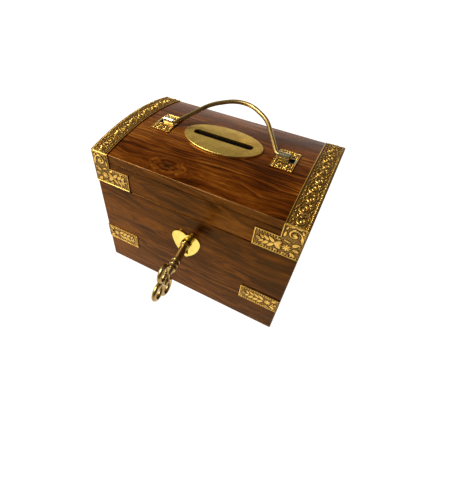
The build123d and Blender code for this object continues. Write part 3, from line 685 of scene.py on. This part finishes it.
FOOT_MOTIFS = [
    (rosette, (6.0, 4.8), 2.2, 8),
    (leaf, (4.1, 6.6), 140, 3.4, 1.0), (leaf, (4.1, 3.0), 220, 3.4, 1.0),
    (leaf, (0.8, 4.8), 0, 2.9, 0.95), (leaf, (4.9, 8.1), 8, 3.2, 0.55),
    (leaf, (4.9, 1.5), -8, 3.2, 0.55), (leaf, (2.4, 8.6), 200, 1.7, 0.5),
    (leaf, (8.2, 2.6), 44, 4.2, 1.05), (leaf, (8.2, 7.0), -44, 4.2, 1.05),
    (leaf, (8.0, 4.8), 0, 1.6, 0.55), (leaf, (10.9, 7.9), 180, 2.4, 0.5),
    (leaf, (10.9, 1.7), 180, 2.4, 0.5),
    (leaf, (11.0, 5.0), 45, 4.0, 0.95), (leaf, (11.0, 4.6), -45, 4.0, 0.95),
    (leaf, (13.3, 5.0), 45, 3.9, 0.92), (leaf, (13.3, 4.6), -45, 3.9, 0.92),
    (leaf, (15.5, 5.0), 50, 3.0, 0.8), (leaf, (15.5, 4.6), -50, 3.0, 0.8),
    (leaf, (14.6, 8.0), 10, 1.9, 0.4), (leaf, (14.6, 1.6), -10, 1.9, 0.4),
    (rosette, (18.1, 4.8), 0.95, 5),
]
STRAP_MOTIFS = [
    (rosette, (5.6, 4.65), 2.1, 8),
    (leaf, (3.8, 6.3), 142, 3.2, 0.95), (leaf, (3.8, 3.0), 218, 3.2, 0.95),
    (leaf, (0.8, 4.65), 0, 2.6, 0.85), (leaf, (4.6, 7.8), 8, 3.0, 0.5),
    (leaf, (4.6, 1.5), -8, 3.0, 0.5),
    (leaf, (7.7, 4.9), 42, 4.2, 1.0), (leaf, (7.7, 4.4), -42, 4.2, 1.0),
    (leaf, (10.1, 4.9), 42, 4.1, 0.95), (leaf, (10.1, 4.4), -42, 4.1, 0.95),
    (leaf, (12.6, 4.9), 44, 3.9, 0.92), (leaf, (12.6, 4.4), -44, 3.9, 0.92),
    (leaf, (15.1, 4.9), 50, 3.0, 0.75), (leaf, (15.1, 4.4), -50, 3.0, 0.75),
]
CORNER_MOTIFS = [
    (scroll, (4.5, 12.6), 3.0, 200, -1.25, 0.42), (rosette, (4.5, 12.6), 1.15, 6),
    (leaf, (1.1, 9.9), 84, 3.6, 0.62), (leaf, (8.2, 10.2), 96, 3.6, 0.6),
    (leaf, (1.3, 14.0), 66, 2.6, 0.5), (leaf, (2.4, 16.2), 10, 2.9, 0.5),
    (leaf, (5.2, 16.4), -14, 2.9, 0.5), (leaf, (8.1, 14.0), 104, 2.4, 0.45),
]
PLATE_MOTIFS = [
    (scroll, (3.2, 3.1), 1.65, 180, 1.1, 0.3), (scroll, (6.4, 3.1), 1.65, 0, -1.1, 0.3),
    (leaf, (4.8, 1.3), 90, 3.4, 0.6), (leaf, (1.7, 4.6), 50, 2.4, 0.5),
    (leaf, (7.9, 4.6), 130, 2.4, 0.5),
]


def band_height(u, v):
    """Ornament of a lid band and its foot; u runs in from the box's end, v up and over."""
    foot = v <= FOOT_HEIGHT + 1e-6
    ornament = np.zeros_like(u)
    lower = v[:, 0] < ARRIS_AT + 1.0
    ornament[lower] = np.where(
        foot[lower], motifs(u[lower], v[lower], FOOT_MOTIFS),
        motifs(u[lower], v[lower], CORNER_MOTIFS),
    )
    for index in range(REPEATS):
        base = ARRIS_AT + 0.6 + REPEAT * index
        rows = (v[:, 0] >= base) & (v[:, 0] < base + REPEAT)
        side = 1 if index % 2 else -1
        if rows.any():
            near = foliage_unit(BAND_WIDTH / 2, base, side)
            near += foliage_unit(BAND_WIDTH / 2, base - REPEAT, -side)[-3:]
            ornament[rows] = motifs(u[rows], v[rows], near)
    beyond = u > BAND_WIDTH
    edges = highest(
        rim(v), rim(FOOT_LENGTH - u), np.where(beyond, rim(FOOT_HEIGHT - v), 0),
        np.where(foot, 0, rim(BAND_WIDTH - u, 0.3)),
    )
    dashes = highest(
        milled(v, u, BAND_DASH_AT),
        np.where(beyond, milled(v, u, FOOT_HEIGHT - BAND_DASH_AT), 0),
        np.where(foot, 0, milled(u, v, 0.95, 0.9, 0.32)),
    )
    sunk = (np.abs(BAND_WIDTH - 0.60 - u) < 0.20) & ~foot
    sunk |= (v < BAND_MARGIN) | (beyond & (v > FOOT_HEIGHT - BAND_MARGIN))
    sunk |= foot & (u > FOOT_LENGTH - 0.6)
    ornament = np.where(sunk, 0, ornament)
    fold = np.exp(-((v - ARRIS_AT) / 0.6) ** 2) * 0.75
    return highest(ornament, edges, dashes, fold) * rolled_and_shaded(u)


def strap_height(u, v):
    """Ornament of a front corner strap; u runs in from the box's end, v up."""
    edges = highest(rim(v), rim(STRAP_HEIGHT - v), rim(STRAP_LENGTH - u))
    dashes = highest(
        milled(v, u, DASH_AT), milled(v, u, STRAP_HEIGHT - DASH_AT),
        milled(u, v, STRAP_LENGTH - 1.0),
    )
    line = ridge(u - (STRAP_LENGTH - 1.75), 0.2) * 0.7
    clear = (u > STRAP_LENGTH - 2.1) | (v < MARGIN) | (v > STRAP_HEIGHT - MARGIN)
    ornament = np.where(clear, 0.0, motifs(u, v, STRAP_MOTIFS))
    return highest(ornament, edges, dashes, line) * rolled_and_shaded(u)


def plate_height(u, v):
    """Ornament of a handle plate; u out from its inner edge, v from its front edge."""
    near = np.minimum(v, PLATE_LENGTH - v)
    edges = highest(rim(u), rim(PLATE_WIDTH - u), rim(near))
    dashes = highest(milled(u, v, DASH_AT), milled(u, v, PLATE_WIDTH - DASH_AT),
                     milled(v, u, DASH_AT), milled(v, u, PLATE_LENGTH - DASH_AT))
    inside = (near > MARGIN) & (u > MARGIN) & (u < PLATE_WIDTH - MARGIN)
    ornament = np.where(inside, motifs(u, near, PLATE_MOTIFS), 0.05)
    # The opening's patch gets relief -1, which paints it near-black as shade.
    start, end, half = SHADED_OPENING
    window = (u > start) & (u < end) & (np.abs(v - PLATE_LENGTH / 2) < half)
    return np.where(window, -1.0, highest(ornament, edges, dashes))


SHEET_BASE = 0.14           # a sheet's height over the wood in its deepest hollows
GRID = 0.15                 # step of the relief's grid
FOLD_RADIUS = 0.3           # the wood's edge under a band
BAND_THICKNESS = 0.5        # where a band's length is measured, over the wood
PLATE_THICKNESS = 0.7
EYE_REACH = 2.0             # how much of a handle plate's middle is left as the eye


def relief_sheet(name, columns, rows, height, place, full, wide_rows=None, wide_from=None):
    """A closed stamped sheet: ornament on top, flat underneath, edges down to the wood.

    columns and rows are u and v in mm. Rows past wide_rows stop at column wide_from. place maps
    (u, v, lift) to a point; full is the sheet's thickness in mm at the highest ornament.
    """
    n, m = len(columns), len(rows)
    u, v = np.meshgrid(columns, rows)
    high = height(u, v)
    lift = SHEET_BASE + (full - SHEET_BASE) * np.clip(high, 0, 1)
    last = [n - 1 if wide_rows is None or r <= wide_rows else wide_from for r in range(m)]
    top = -np.ones((m, n), int)
    points, values, faces = [], [], []
    for r in range(m):
        count = last[r] + 1
        top[r, :count] = np.arange(len(points), len(points) + count)
        points.extend(place(u[r, :count], v[r, :count], lift[r, :count]))
        values.extend(high[r, :count])
    under = {}

    def below(r, c):
        """The underside vertex beneath row r, column c."""
        if (r, c) not in under:
            under[r, c] = len(points)
            points.extend(place(u[r, c:c + 1], v[r, c:c + 1], np.zeros(1)))
            # The underside's relief value is 0, so the edge walls darken down to the wood: painted
            # contact shade.
            values.append(0.0)
        return under[r, c]

    for r in range(m - 1):
        end = last[r + 1]
        a, b = top[r, :end + 1], top[r + 1, :end + 1]
        faces.extend(np.stack([a[:-1], a[1:], b[1:], b[:-1]], 1).tolist())
        faces.append([top[r, 0], top[r + 1, 0], below(r + 1, 0), below(r, 0)])
        if last[r] > end:
            faces.append([*top[r, end:], below(r, last[r]), below(r, end)])
        faces.append([top[r, end], below(r, end), below(r + 1, end), top[r + 1, end]])
        floor = [below(r, 0), below(r + 1, 0), below(r + 1, end), below(r, end)]
        if r + 1 == wide_rows:
            floor.insert(2, below(r + 1, wide_from))
        faces.append(floor)
    for r in (0, m - 1):
        faces.append([*top[r, :last[r] + 1], below(r, last[r]), below(r, 0)])
    mesh = bpy.data.meshes.new(name)
    mesh.from_pydata(points, [], faces)
    bm = bmesh.new()
    bm.from_mesh(mesh)
    bmesh.ops.recalc_face_normals(bm, faces=bm.faces)
    bm.to_mesh(mesh)
    bm.free()
    mesh.shade_smooth()
    mesh.set_sharp_from_angle(angle=math.radians(60))
    mark = mesh.attributes.new("relief", "FLOAT", "POINT")
    mark.data.foreach_set("value", np.array(values, np.float32))
    return new_object(name, mesh)


def spread(start, end):
    """Evenly spaced values from start to end at about the relief grid's step."""
    return np.linspace(start, end, max(2, round((end - start) / GRID)) + 1)


def fold_path():
    """The wood's outline under a band, from the foot up, over the arch and down the back.

    Returns distance along it (mm), base points and outward directions as (y, z).
    """
    back_low = band_points[band_points[:, 1] > HALF_DEPTH][:, 2].min() / MM
    radius, centre = ARCH_RADIUS / MM, ARCH_CENTRE / MM
    depth = HALF_DEPTH / MM
    fold_y = depth - FOLD_RADIUS
    fold_z = centre + math.sqrt((radius - FOLD_RADIUS) ** 2 - fold_y ** 2)
    lean = math.atan2(fold_z - centre, -fold_y)
    parts = []
    up = spread(BAND_LOW.z / MM, fold_z)
    parts.append([(-depth, z, math.pi) for z in up])
    turn = np.linspace(math.pi, lean, 9)[1:]
    parts.append([(-fold_y + FOLD_RADIUS * math.cos(a), fold_z + FOLD_RADIUS * math.sin(a), a)
                  for a in turn])
    over = np.linspace(lean, math.pi - lean, round((2 * lean - math.pi) * radius / GRID))[1:]
    parts.append([(radius * math.cos(a), centre + radius * math.sin(a), a) for a in over])
    turn = np.linspace(math.pi - lean, 0, 9)[1:]
    parts.append([(fold_y + FOLD_RADIUS * math.cos(a), fold_z + FOLD_RADIUS * math.sin(a), a)
                  for a in turn])
    down = spread(back_low, fold_z)[::-1][1:]
    parts.append([(depth, z, 0.0) for z in down])
    flat = np.array([p for part in parts for p in part])
    ways = np.stack([np.cos(flat[:, 2]), np.sin(flat[:, 2])], 1)
    outside = flat[:, :2] + ways * BAND_THICKNESS
    run = np.concatenate([[0], np.cumsum(np.hypot(*np.diff(outside, axis=0).T))])
    return run, flat[:, :2], ways


def make_bands():
    """Both lid bands with their feet."""
    run, base, ways = fold_path()
    full = (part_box("band_right")[1].z - ARCH_TOP) / MM
    over_band = spread(0, BAND_WIDTH)
    columns = np.concatenate([over_band, spread(BAND_WIDTH, FOOT_LENGTH)[1:]])
    row_step = int(np.argmin(np.abs(run - FOOT_HEIGHT)))
    for side, node in ((1, "band_right"), (-1, "band_left")):
        def place(u, v, lift, side=side):
            """Wrap a sheet point round the lid's outline."""
            y = np.interp(v, run, base[:, 0]) + lift * np.interp(v, run, ways[:, 0])
            z = np.interp(v, run, base[:, 1]) + lift * np.interp(v, run, ways[:, 1])
            return np.stack([side * (HALF_WIDTH / MM - u), y, z], 1) * MM

        sheet = relief_sheet(
            f"{node}_sheet", columns, run, band_height, place, full,
            wide_rows=row_step, wide_from=len(over_band) - 1,
        )
        dress(sheet, node, brass_relief)


def make_straps():
    """Both front corner straps."""
    for side, node in ((1, "corner_strap_right"), (-1, "corner_strap_left")):
        low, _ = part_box(node)

        def place(u, v, lift, side=side, low=low):
            """Lay a sheet point on the front of the box."""
            return np.stack([
                side * (HALF_WIDTH / MM - u), -HALF_DEPTH / MM - lift, low.z / MM + v,
            ], 1) * MM

        sheet = relief_sheet(
            f"{node}_sheet", spread(0, STRAP_LENGTH), spread(0, STRAP_HEIGHT),
            strap_height, place, (-HALF_DEPTH - low.y) / MM,
        )
        dress(sheet, node, brass_relief)


def make_handle_plates():
    """Both handle plates: a stamped sheet each, with the eye that holds the handle."""
    for side, node in ((1, "handle_plate_right"), (-1, "handle_plate_left")):
        low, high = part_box(node)

        def place(u, v, lift, side=side, low=low, high=high):
            """Lay a sheet point on the arch."""
            inner = low.x if side > 0 else high.x
            y = low.y / MM + v
            centre, radius = ARCH_CENTRE / MM, ARCH_RADIUS / MM
            angle = np.arcsin(y / radius)
            return np.stack([
                inner / MM + side * u, (radius + lift) * np.sin(angle),
                centre + (radius + lift) * np.cos(angle),
            ], 1) * MM

        sheet = relief_sheet(
            f"{node}_sheet", spread(0, PLATE_WIDTH), spread(0, PLATE_LENGTH),
            plate_height, place, PLATE_THICKNESS,
        )
        dress(sheet, node, brass_relief)
        eye = clean_copy(node)
        middle = Vector((0, (low.y + high.y) / 2, 0))
        for outward in (Vector((0, 1, 0)), Vector((0, -1, 0))):
            bmesh.ops.bisect_plane(
                eye, geom=eye.verts[:] + eye.edges[:] + eye.faces[:],
                plane_co=middle + outward * EYE_REACH * MM, plane_no=outward, clear_outer=True,
            )
        bmesh.ops.holes_fill(eye, edges=eye.edges, sides=0)
        bevel(eye, sharp_edges(eye), 0.12 * MM, 2)
        dress(finish_mesh(eye, f"{node}_eye"), node, brass_eye)


make_bands()
make_straps()
make_handle_plates()


# ---- key ----
# Millimetres along the key's axis, out from the box's front face.
KEY_STEM = 2.0
KEY_TIP = (-12.55, -10.67)          # the stem's tip and the bit's middle
KEY_CHAMFER = 0.3
KEY_COLLAR = (1.3, 2.7, 2.6)        # start, end, radius
KEY_BEADS = (2.25, 1.5, 2.3, 3)     # radius, length, step, count
KEY_SHOULDER = 16.6
KEY_NECK = (2.2, 1.2)               # length and radius of the stem's end inside the bow
# Balls where the bow's rings meet: (along, offset). Rings: (along, offset, radius).
BOW_BALLS = ((25.6, 3.1), (25.6, -3.1), (20.0, 3.4), (20.0, -3.4))
BOW_BALL_RADIUS = 1.15
BOW_RINGS = ((22.6, 6.0, 3.75), (22.6, -6.0, 3.75), (28.7, 0.0, 3.75), (22.0, 0.0, 2.75))
BOW_WIDTH = 1.04
BOW_THICKNESS = 1.08
BOW_WOBBLE = 0.08
BIT_RADIUS = 6.5
BIT_WIDTH = 3.6
BIT_THICKNESS = 1.6
BIT_WARD = (3.4, 4.3, 0.9)          # side notch: its two distances from the axis, its depth
BIT_SLIT = (0.35, 1.3)              # end notch: its half width and depth


def lathe(bm, origin, axis, profile, segments=36):
    """Add a closed turned shape; profile is (distance along axis, radius) from end to end."""
    side = axis.orthogonal().normalized()
    other = axis.cross(side)
    rings = []
    for along, radius in profile:
        rings.append([
            bm.verts.new(origin + axis * along + (
                side * math.cos(2 * math.pi * i / segments)
                + other * math.sin(2 * math.pi * i / segments)) * radius)
            for i in range(segments)
        ])
    for low, high in zip(rings, rings[1:]):
        for i in range(segments):
            j = (i + 1) % segments
            bm.faces.new((low[i], low[j], high[j], high[i]))
    bm.faces.new(rings[0][::-1])
    bm.faces.new(rings[-1])


def rounded_band(start, end, base, peak, steps=6):
    """Profile points of a rounded collar that rises from base to peak between start and end."""
    return [
        (start + (end - start) * (0.5 - 0.5 * math.cos(math.pi * i / steps)),
         base + (peak - base) * math.sin(math.pi * i / steps) ** 0.6)
        for i in range(steps + 1)
    ]


def ring(bm, centre, across, up, normal, reach, half_width, half_thickness, wobble):
    """Add a closed ring of oval section lying in the (across, up) plane.

    wobble is the share by which its width swells at three places, as in a hand-filed casting.
    """
    around, section = 48, 14
    loops = []
    for i in range(around):
        t = 2 * math.pi * i / around
        out = across * math.cos(t) + up * math.sin(t)
        bulge = 1 + wobble * math.cos(3 * t)
        loops.append([
            bm.verts.new(
                centre + out * (reach + half_width * bulge * math.cos(2 * math.pi * k / section))
                + normal * half_thickness * math.sin(2 * math.pi * k / section))
            for k in range(section)
        ])
    for i in range(around):
        for k in range(section):
            n = (k + 1) % section
            m = (i + 1) % around
            bm.faces.new((loops[i][k], loops[m][k], loops[m][n], loops[i][n]))


def make_key():
    """The cast key: turned stem with collar and beads, a three-lobed pierced bow, a warded bit."""
    turn = joint("key_turn")
    origin = Vector(turn["pos_m"]) / MM
    axis = Vector(turn["axis"]).normalized()
    normal = axis.cross(Vector((0, 0, 1))).normalized()
    up = normal.cross(axis)
    up = up if up.z > 0 else -up
    start, bit_middle = KEY_TIP
    profile = [(start, KEY_STEM - KEY_CHAMFER), (start + KEY_CHAMFER, KEY_STEM)]
    collar_start, collar_end, collar_radius = KEY_COLLAR
    profile += rounded_band(collar_start, collar_end, KEY_STEM, collar_radius)
    radius, length, step, count = KEY_BEADS
    for i in reversed(range(count)):
        begin = KEY_SHOULDER - length - i * step
        profile += rounded_band(begin, begin + length, KEY_STEM, radius)
    neck_length, neck_radius = KEY_NECK
    profile += [(KEY_SHOULDER + 0.4, KEY_STEM - KEY_CHAMFER),
                (KEY_SHOULDER + neck_length, neck_radius)]
    bm = bmesh.new()
    lathe(bm, origin, axis, profile)
    for along, offset, reach in BOW_RINGS:
        ring(bm, origin + axis * along + up * offset, axis, up, normal, reach, BOW_WIDTH,
             BOW_THICKNESS, BOW_WOBBLE)
    for along, offset in BOW_BALLS:
        ball = bmesh.ops.create_uvsphere(
            bm, u_segments=16, v_segments=10, radius=BOW_BALL_RADIUS
        )["verts"]
        bmesh.ops.translate(bm, verts=ball, vec=origin + axis * along + up * offset)
    half = BIT_WIDTH / 2
    ward_near, ward_far, ward_depth = BIT_WARD
    slit_half, slit_depth = BIT_SLIT
    slit_end = -BIT_RADIUS + slit_depth
    outline = [
        (-half, -KEY_STEM / 2), (half, -KEY_STEM / 2), (half, -ward_near),
        (half - ward_depth, -ward_near), (half - ward_depth, -ward_far), (half, -ward_far),
        (half, -BIT_RADIUS), (slit_half, -BIT_RADIUS), (slit_half, slit_end),
        (-slit_half, slit_end), (-slit_half, -BIT_RADIUS), (-half, -BIT_RADIUS),
    ]
    flat = [
        bm.verts.new(origin + axis * (bit_middle + along) + up * height
                     - normal * BIT_THICKNESS / 2)
        for along, height in outline
    ]
    plate = bm.faces.new(flat)
    grown = bmesh.ops.extrude_face_region(bm, geom=[plate])
    raised = [g for g in grown["geom"] if isinstance(g, bmesh.types.BMVert)]
    bmesh.ops.translate(bm, verts=raised, vec=normal * BIT_THICKNESS)
    bmesh.ops.scale(bm, vec=(MM, MM, MM), verts=bm.verts)
    dress(finish_mesh(bm, "key_cast", 50), "key", brass_cast)


make_key()


# ---- oval plate and heart ----
def make_slot_plate():
    """The oval plate: a wide bevel round its rim and a small one round the slot."""
    bm = clean_copy("slot_plate")
    low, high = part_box("slot_plate")
    middle = (low + high) / 2
    half = (high - low) / 2

    def place_on_oval(edge):
        """How far out an edge's middle lies, 1 being the oval's rim."""
        at = (edge.verts[0].co + edge.verts[1].co) / 2 - middle
        return math.hypot(at.x / half.x, at.y / half.y)

    def is_upper(edge):
        """Whether an edge lies on the plate's outer face."""
        radius = ARCH_RADIUS + 0.5 * MM
        return all(math.hypot(v.co.y, v.co.z - ARCH_CENTRE) > radius for v in edge.verts)

    edges = [e for e in sharp_edges(bm) if is_upper(e)]
    outer = [e for e in edges if place_on_oval(e) > 0.97]
    inner = [e for e in edges if place_on_oval(e) <= 0.97]
    bevel(bm, inner, 0.22 * MM, 2)
    outer = [e for e in outer if e.is_valid]
    bevel(bm, outer, 0.55 * MM, 3)
    dress(finish_mesh(bm, "slot_plate_oval", 30), "slot_plate", brass_satin)


make_slot_plate()
softened("escutcheon", "escutcheon_heart", brass_polished, 0.28 * MM, 3)

for node in (
    "lock_case", "lock_cover_plate", "lock_bolt", "lock_strike", "hinge_body_leaf_left",
    "hinge_body_leaf_right", "hinge_lid_leaf_left", "hinge_lid_leaf_right",
):
    softened(node, f"{node}_soft", brass_dull, 0.12 * MM)
for node in ("strap_pins", "band_pins", "handle_plate_pins"):
    softened(node, f"{node}_domed", brass_nail, 0.16 * MM, 3)
for node, material in (
    ("handle_bail", brass_cast), ("lock_screws", steel), ("strike_screws", steel),
    ("bolt_spring", steel), ("hinge_pin_left", brass_dull), ("hinge_pin_right", brass_dull),
    ("hinge_body_screws", brass_dull), ("hinge_lid_screws", brass_dull),
):
    frame["nodes"][node].data.materials.clear()
    frame["nodes"][node].data.materials.append(material)


# ---- studio ----
def area_light(name, place, aim, size, power):
    """A soft square light at place that points at aim; lengths in metres."""
    data = bpy.data.lights.new(name, "AREA")
    data.energy = power
    data.size = size
    lamp = new_object(name, data)
    lamp.location = place
    lamp.rotation_euler = (Vector(aim) - Vector(place)).to_track_quat("-Z", "Y").to_euler()


FLOOR_EDGES = ((-1.6, 1.2), (-0.42, 2.4))    # left and right, front and back
FADE_FRONT = (300.0, 130.0)    # how far forward the glow ends, and over what length, in mm
FADE_RIGHT = (320.0, 150.0)


def make_floor():
    """A pale sheet of paper under the box that runs far back behind it."""
    (left, right), (front, back) = FLOOR_EDGES
    bm = bmesh.new()
    bm.faces.new([
        bm.verts.new(c) for c in ((left, front, 0), (right, front, 0), (right, back, 0),
                                  (left, back, 0))
    ])
    floor = finish_mesh(bm, "studio_floor")
    material, tree, shader = new_material("floor_paper")
    tint = ramp(tree, noise(tree, surface_point(tree), 0.004, 2.0),
                [(0.3, (1.0, 0.97, 0.93)), (0.7, (1.0, 0.985, 0.95))])
    dimmed = mixed(tree, 1.0, tint, triple(0.15), "MULTIPLY")
    tree.links.new(dimmed, shader.inputs["Base Color"])
    place = add_node(tree, "ShaderNodeSeparateXYZ", {0: surface_point(tree)}).outputs
    near = math_node(tree, "ADD", place["Y"], FADE_FRONT[0])
    near = math_node(tree, "DIVIDE", near, FADE_FRONT[1])
    inward = math_node(tree, "SUBTRACT", FADE_RIGHT[0], place["X"])
    inward = math_node(tree, "DIVIDE", inward, FADE_RIGHT[1])
    lit = math_node(tree, "MINIMUM", near, inward)
    fade = ramp(tree, lit, [(0.0, triple(0.14)), (1.0, triple(1.0))])
    glow = mixed(tree, 1.0, tint, fade, "MULTIPLY")
    tree.links.new(glow, shader.inputs["Emission Color"])
    shader.inputs["Emission Strength"].default_value = 1.08
    shader.inputs["Roughness"].default_value = 0.9
    shader.inputs["Specular IOR Level"].default_value = 0.0
    floor.data.materials.append(material)


WALL_SIDE = (-0.45, 0.89, 0.0)


def make_world():
    """A dim room, with a pale wall low down behind the box and to its left."""
    world = bpy.data.worlds.new("studio")
    bpy.context.scene.world = world
    world.use_nodes = True
    tree = world.node_tree
    direction = add_node(tree, "ShaderNodeTexCoord").outputs["Generated"]
    parts = add_node(tree, "ShaderNodeSeparateXYZ", {0: direction}).outputs
    wall = ramp(tree, parts["Z"], [
        (0.0, triple(0.90)), (0.22, (0.64, 0.60, 0.54)), (0.52, (0.48, 0.43, 0.34)),
        (0.66, (0.17, 0.167, 0.163)), (1.0, (0.14, 0.137, 0.133)),
    ])
    facing = add_node(
        tree, "ShaderNodeVectorMath", {0: direction, 1: WALL_SIDE},
        operation="DOT_PRODUCT",
    ).outputs["Value"]
    behind = ramp(tree, math_node(tree, "MULTIPLY_ADD", facing, 0.5, 0.5), [
        (0.25, triple(0.16)), (0.60, triple(1.0)),
    ])
    sky = mixed(tree, 1.0, wall, behind, "MULTIPLY")
    background = tree.nodes["Background"]
    tree.links.new(sky, background.inputs["Color"])
    background.inputs["Strength"].default_value = 1.0


CAMERA_PLACE = (50.7, -121.7, 157.5)
CAMERA_AZIMUTH = 26.8
CAMERA_ELEVATION = 46.8
CAMERA_ROLL = 2.8
CAMERA_SHIFT = (0.0584, -0.0382)
SENSOR = 36.0                  # millimetres
LENS = 23.1048


def make_camera():
    """The camera, above the front right corner, looking down at the box."""
    azimuth, elevation, roll = (
        math.radians(a) for a in (CAMERA_AZIMUTH, CAMERA_ELEVATION, CAMERA_ROLL)
    )
    back = Vector((
        math.sin(azimuth) * math.cos(elevation),
        -math.cos(azimuth) * math.cos(elevation),
        math.sin(elevation),
    ))
    right = Vector((math.cos(azimuth), math.sin(azimuth), 0))
    up = back.cross(right)
    turned_right = right * math.cos(roll) + up * math.sin(roll)
    turned_up = up * math.cos(roll) - right * math.sin(roll)
    data = bpy.data.cameras.new("camera")
    data.sensor_width = SENSOR
    data.lens = LENS
    data.shift_x, data.shift_y = CAMERA_SHIFT
    data.clip_start = 0.005
    camera = new_object("camera", data)
    pose = Matrix((turned_right, turned_up, back)).transposed().to_4x4()
    pose.translation = Vector(CAMERA_PLACE) * MM
    camera.matrix_world = pose
    bpy.context.scene.camera = camera


make_floor()
make_world()
make_camera()
area_light("window", place=(-0.55, -0.35, 0.75), aim=(0, 0, 0.05), size=0.50, power=10.0)
bpy.context.scene.view_settings.view_transform = "Standard"
